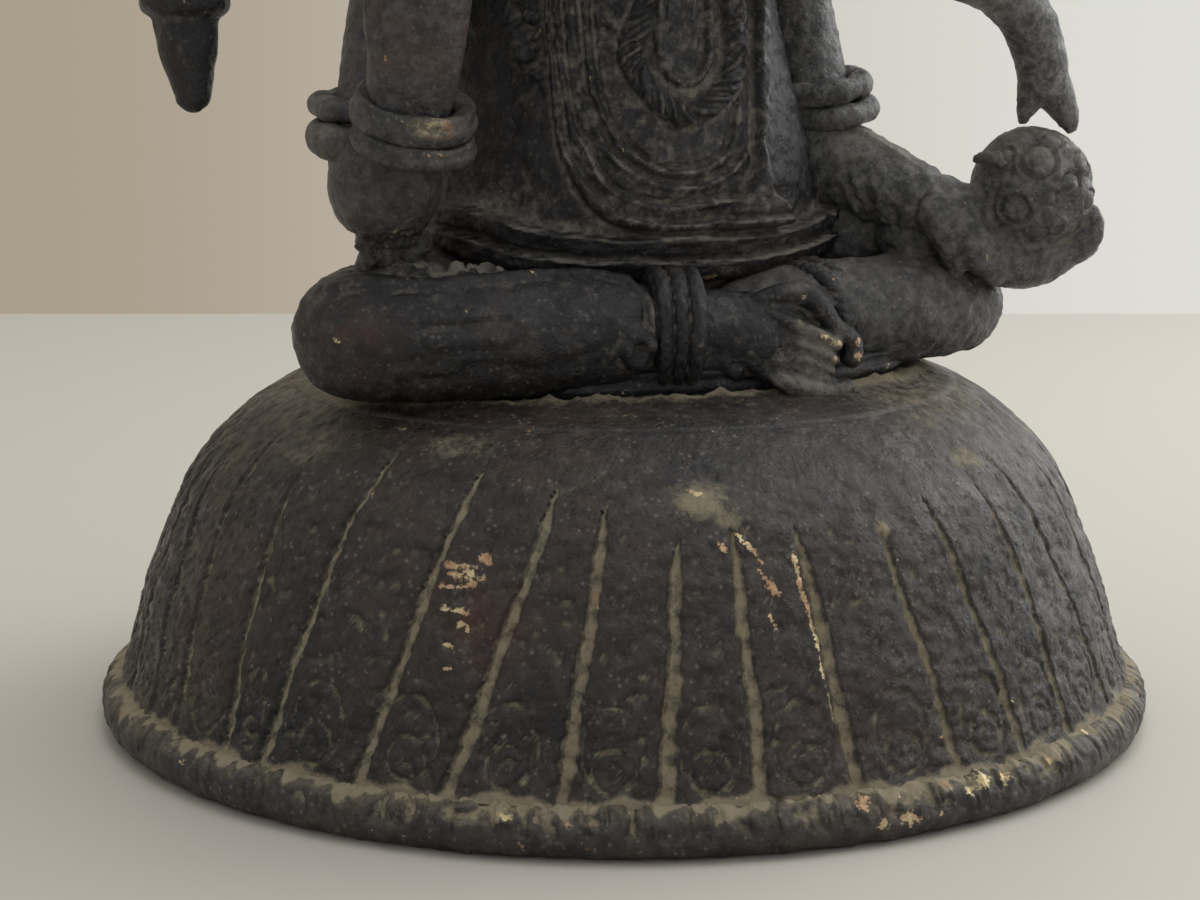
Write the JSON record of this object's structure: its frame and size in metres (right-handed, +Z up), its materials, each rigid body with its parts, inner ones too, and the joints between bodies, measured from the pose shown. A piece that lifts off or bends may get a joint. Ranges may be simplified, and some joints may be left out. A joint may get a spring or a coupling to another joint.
{
  "type": "ganesha figure",
  "caption": "Seated four-armed elephant-headed deity cast in dark bronze, one with its domed lotus base; a table or shrine figure.",
  "frame": {"origin": "centre of the underside of the base", "axes": "+Z up; the figure looks along -Y and its own left side is +X"},
  "size_m": [0.1199, 0.1197, 0.156],
  "materials": {
    "bronze": "dark brown-black cast bronze, half matt, with dust in the hollows and small bright worn spots"
  },
  "bodies": {
    "root": {"ganesha_figure": "bronze"}
  },
  "joints": []
}
